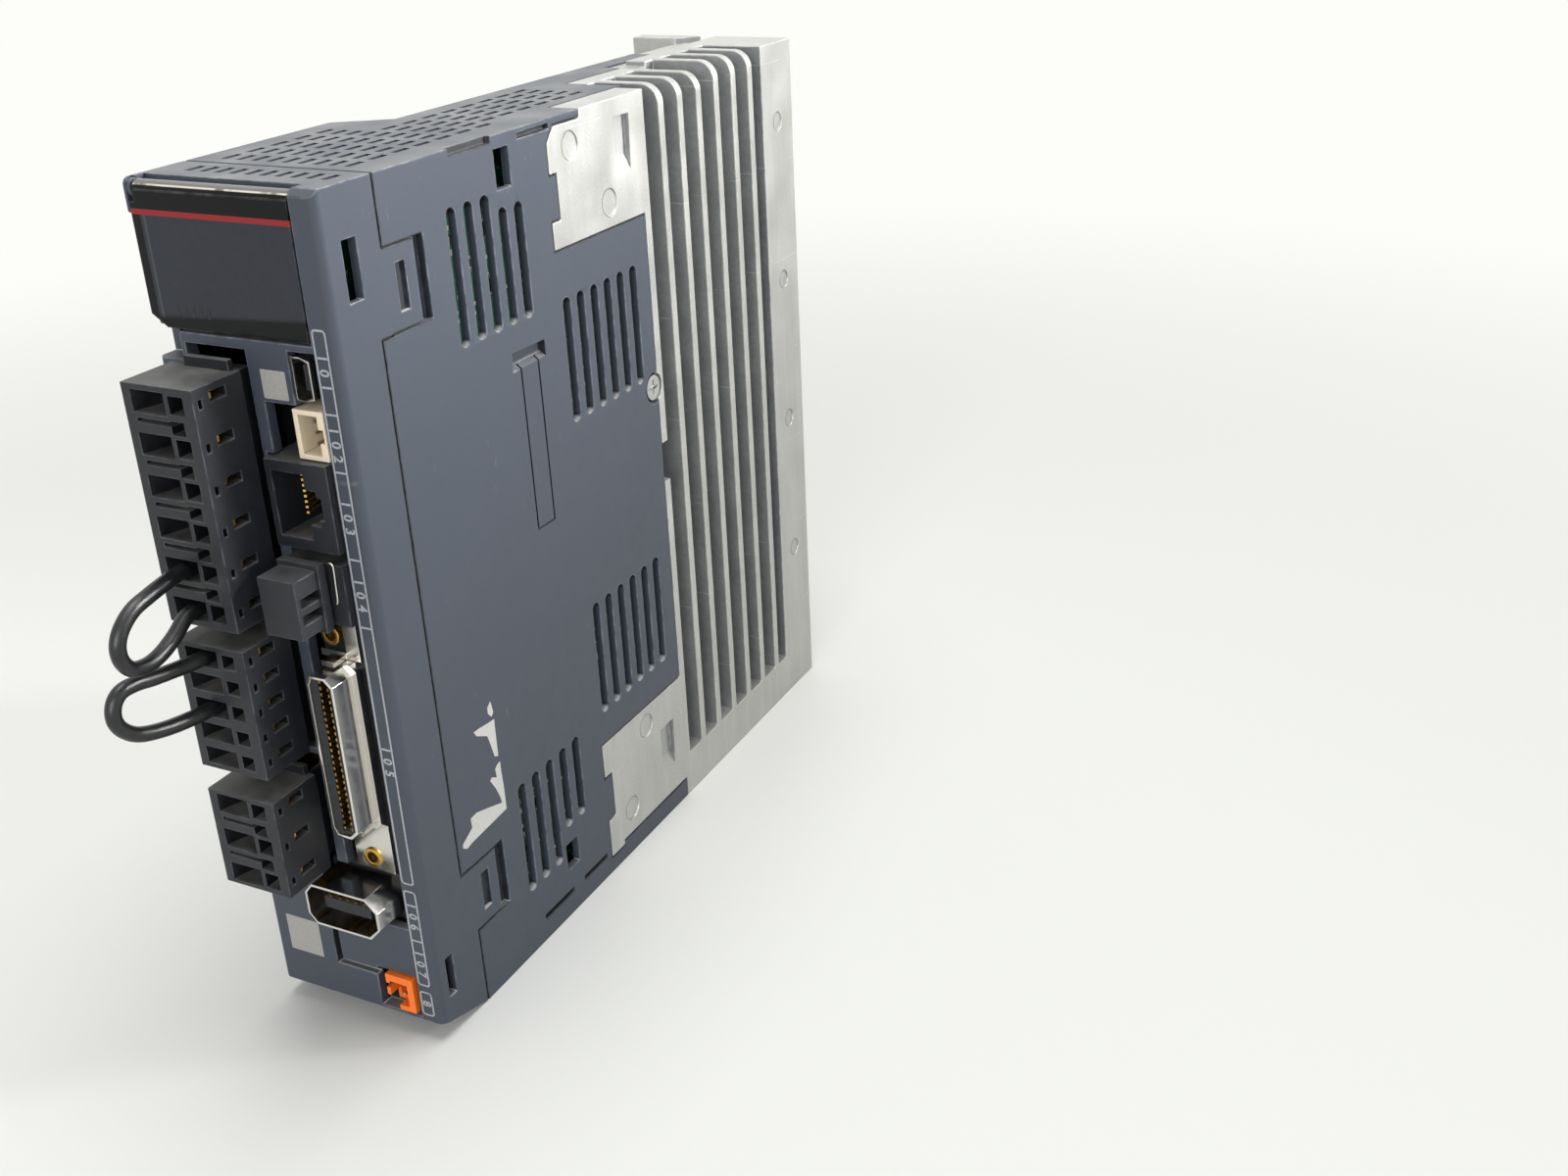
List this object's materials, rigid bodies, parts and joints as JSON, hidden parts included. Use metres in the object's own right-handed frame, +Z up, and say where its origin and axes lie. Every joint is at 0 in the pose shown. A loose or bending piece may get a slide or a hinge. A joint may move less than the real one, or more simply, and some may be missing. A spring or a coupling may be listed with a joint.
{
  "type": "servo drive",
  "caption": "Slim cabinet-mount servo drive: vented moulded case on a finned die-cast heat sink, smoked flap, pull-off wire plugs and signal sockets on the narrow front.",
  "frame": {"origin": "under the middle of the drive with its plugs in, on the base plane", "axes": "+Z up, -Y out of the front with the sockets, +Y into the mounting wall, +X to the right seen from the front"},
  "size_m": [0.04, 0.2039, 0.168],
  "materials": {
    "case_plastic": "fine spark-eroded satin",
    "cast_aluminium": "die-cast, lightly blasted",
    "smoked_flap": "smoked clear plastic",
    "black_plastic": "glass-filled satin",
    "grey_plastic": "satin",
    "cream_plastic": "satin",
    "orange_plastic": "satin",
    "key_plastic": "satin",
    "shell_metal": "bright nickel plate",
    "contact_metal": "gold flash",
    "pin_metal": "tinned",
    "screw_steel": "zinc plate",
    "board_green": "solder mask",
    "sleeve_dark": "shrink sleeve",
    "relay_plastic": "satin",
    "thermal_film": "soft film",
    "wire_sheath": "smooth cable sheath"
  },
  "bodies": {
    "drive": {"heat_sink": "cast_aluminium", "main_case": "case_plastic", "front_case": "case_plastic", "display_board": "board_green", "segment_display": "black_plastic", "tact_switches": "black_plastic", "control_board": "board_green", "board_link": "cream_plastic", "board_spacers": "pin_metal", "board_screws": "screw_steel", "power_board": "board_green", "power_module": "black_plastic", "module_screws": "screw_steel", "thermal_sheet": "thermal_film", "rectifier": "black_plastic", "bus_capacitors": "sleeve_dark", "inrush_relay": "relay_plastic", "current_sensors": "black_plastic", "case_screw": "screw_steel", "earth_screws": "screw_steel", "line_header": "black_plastic", "link_header": "black_plastic", "motor_header": "black_plastic", "header_pins": "pin_metal", "usb_shell": "shell_metal", "usb_tongue": "black_plastic", "monitor_port": "cream_plastic", "monitor_pins": "pin_metal", "serial_jack": "black_plastic", "serial_contacts": "contact_metal", "safety_socket": "black_plastic", "safety_pins": "pin_metal", "io_shell": "shell_metal", "io_insulator": "black_plastic", "io_contacts": "contact_metal", "io_brackets": "shell_metal", "io_lock_nuts": "contact_metal", "encoder_shell": "shell_metal", "encoder_insulator": "black_plastic", "encoder_contacts": "contact_metal", "battery_socket": "orange_plastic", "battery_pins": "pin_metal"},
    "cover": {"display_cover": "smoked_flap"},
    "mode_key": {"mode_button": "key_plastic"},
    "up_key": {"up_button": "key_plastic"},
    "down_key": {"down_button": "key_plastic"},
    "set_key": {"set_button": "key_plastic"},
    "line_connector": {"line_plug": "black_plastic", "line_contacts": "contact_metal", "line_jumper": "wire_sheath"},
    "link_connector": {"link_plug": "black_plastic", "link_contacts": "contact_metal", "link_jumper": "wire_sheath"},
    "motor_connector": {"motor_plug": "black_plastic", "motor_contacts": "contact_metal"},
    "safety_connector": {"safety_plug": "grey_plastic"}
  },
  "joints": [
    {"name": "cover_hinge", "type": "hinge", "parent": "drive", "child": "cover", "pos_m": [0, -0.0763, 0.1649], "axis": [-1, 0, 0], "range_deg": [0, 100]},
    {"name": "mode_press", "type": "slide", "parent": "drive", "child": "mode_key", "axis": [0, 1, 0], "range_m": [0, 0.0004], "stiffness_N_per_m": 250},
    {"name": "up_press", "type": "slide", "parent": "drive", "child": "up_key", "axis": [0, 1, 0], "range_m": [0, 0.0004], "stiffness_N_per_m": 250},
    {"name": "down_press", "type": "slide", "parent": "drive", "child": "down_key", "axis": [0, 1, 0], "range_m": [0, 0.0004], "stiffness_N_per_m": 250},
    {"name": "set_press", "type": "slide", "parent": "drive", "child": "set_key", "axis": [0, 1, 0], "range_m": [0, 0.0004], "stiffness_N_per_m": 250},
    {"name": "line_pull", "type": "slide", "parent": "drive", "child": "line_connector", "axis": [0, -1, 0], "range_m": [0, 0.014]},
    {"name": "link_pull", "type": "slide", "parent": "drive", "child": "link_connector", "axis": [0, -1, 0], "range_m": [0, 0.014]},
    {"name": "motor_pull", "type": "slide", "parent": "drive", "child": "motor_connector", "axis": [0, -1, 0], "range_m": [0, 0.014]},
    {"name": "safety_pull", "type": "slide", "parent": "drive", "child": "safety_connector", "axis": [0, -1, 0], "range_m": [0, 0.008]}
  ]
}
